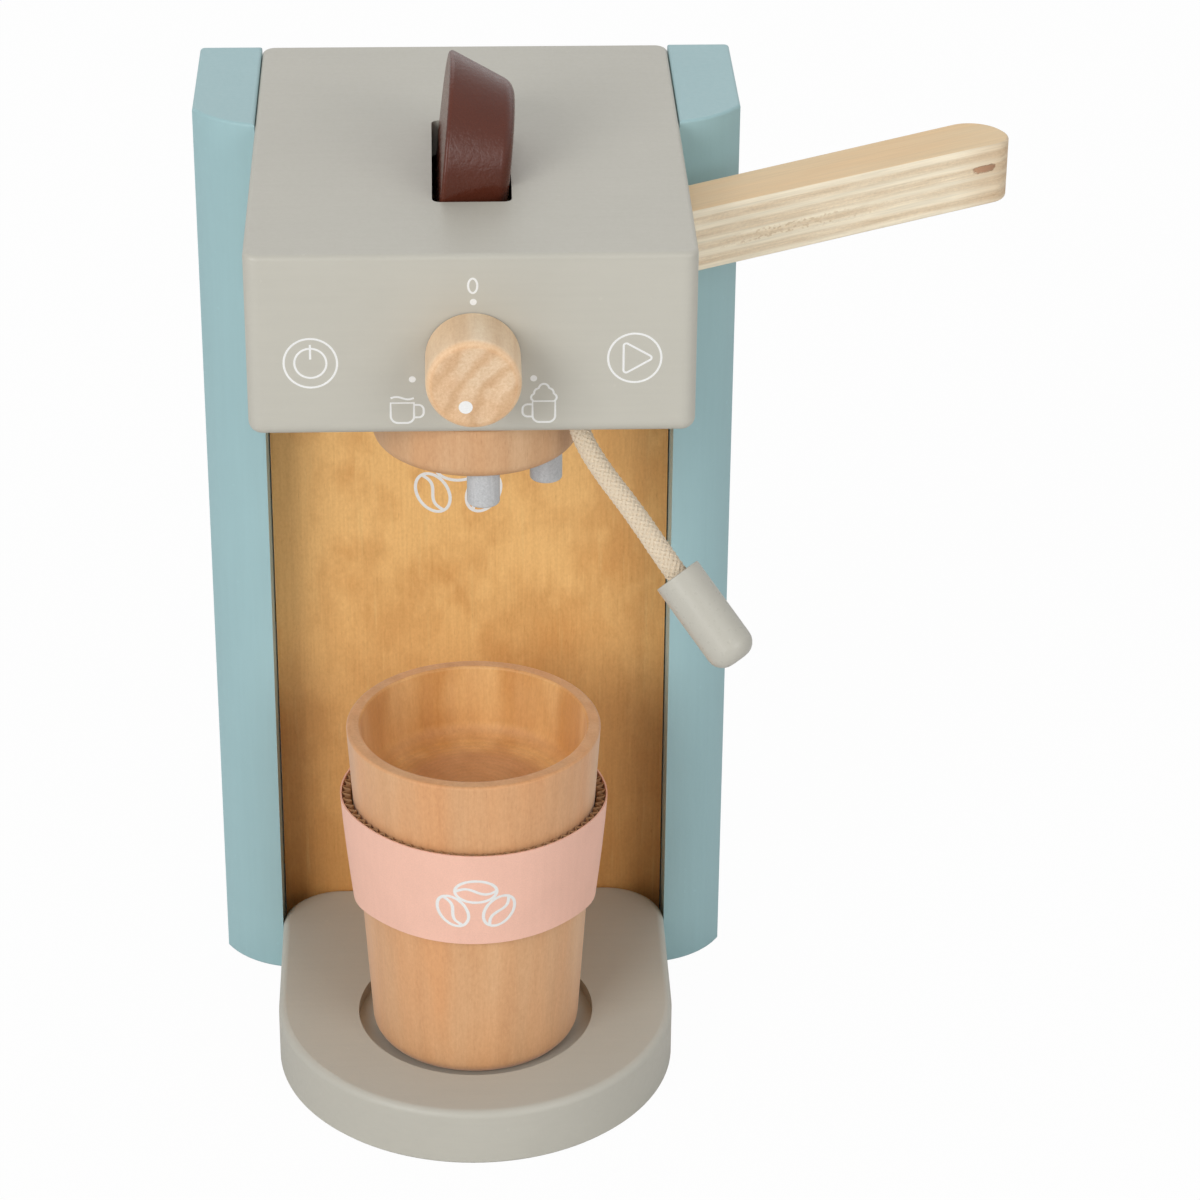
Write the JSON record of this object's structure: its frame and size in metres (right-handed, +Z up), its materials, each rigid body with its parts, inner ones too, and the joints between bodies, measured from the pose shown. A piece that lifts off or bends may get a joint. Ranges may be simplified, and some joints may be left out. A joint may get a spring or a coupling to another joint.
{
  "type": "toy coffee maker",
  "caption": "Wooden toy coffee maker: boxed head on two side boards, turning dial, swinging portafilter, lift-out capsule, rope frother, and a cup with a card sleeve.",
  "frame": {"origin": "on the ground under the machine, on its left-right middle and about midway, within 1 mm, between the base's front and the side boards' back", "axes": "+X to the machine's right as seen from the front, +Y to its back, +Z up; the dial faces -Y"},
  "size_m": [0.2058, 0.1597, 0.2764],
  "materials": {
    "teal_paint": "matt painted wood, teal",
    "taupe_paint": "matt painted wood, warm grey",
    "panel_plywood": "stained birch plywood, satin lacquer",
    "handle_plywood": "nine-ply birch plywood, satin lacquer",
    "turned_wood": "turned hardwood, satin lacquer",
    "cup_wood": "turned hardwood, satin lacquer",
    "spout_silver": "wooden dowel in silver metallic paint",
    "capsule_brown": "wood in gloss brown paint",
    "inner_wood": "plain sawn wood",
    "dowel_wood": "plain wooden dowel",
    "screw_steel": "zinc-plated steel",
    "sleeve_card": "corrugated kraft card",
    "sleeve_print": "matt printed paper, pink",
    "rope_cotton": "braided cotton"
  },
  "bodies": {
    "case": {"left_side_board": "teal_paint", "right_side_board": "teal_paint", "back_panel": "panel_plywood", "base": "taupe_paint", "panel_dowels": "dowel_wood", "base_screws": "screw_steel", "head_top_board": "taupe_paint", "head_front_board": "taupe_paint", "head_back_board": "taupe_paint", "head_left_wall": "taupe_paint", "head_right_wall": "taupe_paint", "head_bottom_board": "taupe_paint", "head_screws": "screw_steel", "capsule_shelf": "inner_wood", "capsule_left_guide": "inner_wood", "capsule_right_guide": "inner_wood", "frother_rope": "rope_cotton", "frother_nozzle": "taupe_paint"},
    "dial": {"knob": "turned_wood", "knob_axle": "dowel_wood", "knob_washer": "screw_steel", "knob_screw": "screw_steel"},
    "portafilter": {"portafilter_bowl": "turned_wood", "portafilter_axle": "dowel_wood", "portafilter_hub": "turned_wood", "portafilter_handle": "handle_plywood", "spout_left": "spout_silver", "spout_right": "spout_silver"},
    "capsule": {"capsule": "capsule_brown"},
    "cup": {"cup": "cup_wood"},
    "sleeve": {"sleeve_fluting": "sleeve_card", "sleeve_paper": "sleeve_print"}
  },
  "joints": [
    {"name": "dial_turn", "type": "hinge", "parent": "case", "child": "dial", "pos_m": [0.00025, -0.06315, 0.2246], "axis": [0, -1, 0], "continuous": true},
    {"name": "portafilter_swing", "type": "hinge", "parent": "case", "child": "portafilter", "pos_m": [0.00115, -0.03485, 0.2054], "axis": [0, 0, 1], "range_deg": [-33, 0]},
    {"name": "capsule_lift", "type": "slide", "parent": "case", "child": "capsule", "axis": [0.1063, 0, 0.9943], "range_m": [0, 0.045]},
    {"name": "cup_lift", "type": "slide", "parent": "case", "child": "cup", "axis": [0, 0, 1], "range_m": [0, 0.06]},
    {"name": "sleeve_slide", "type": "slide", "parent": "cup", "child": "sleeve", "axis": [0, 0, -1], "range_m": [0, 0.03]}
  ]
}
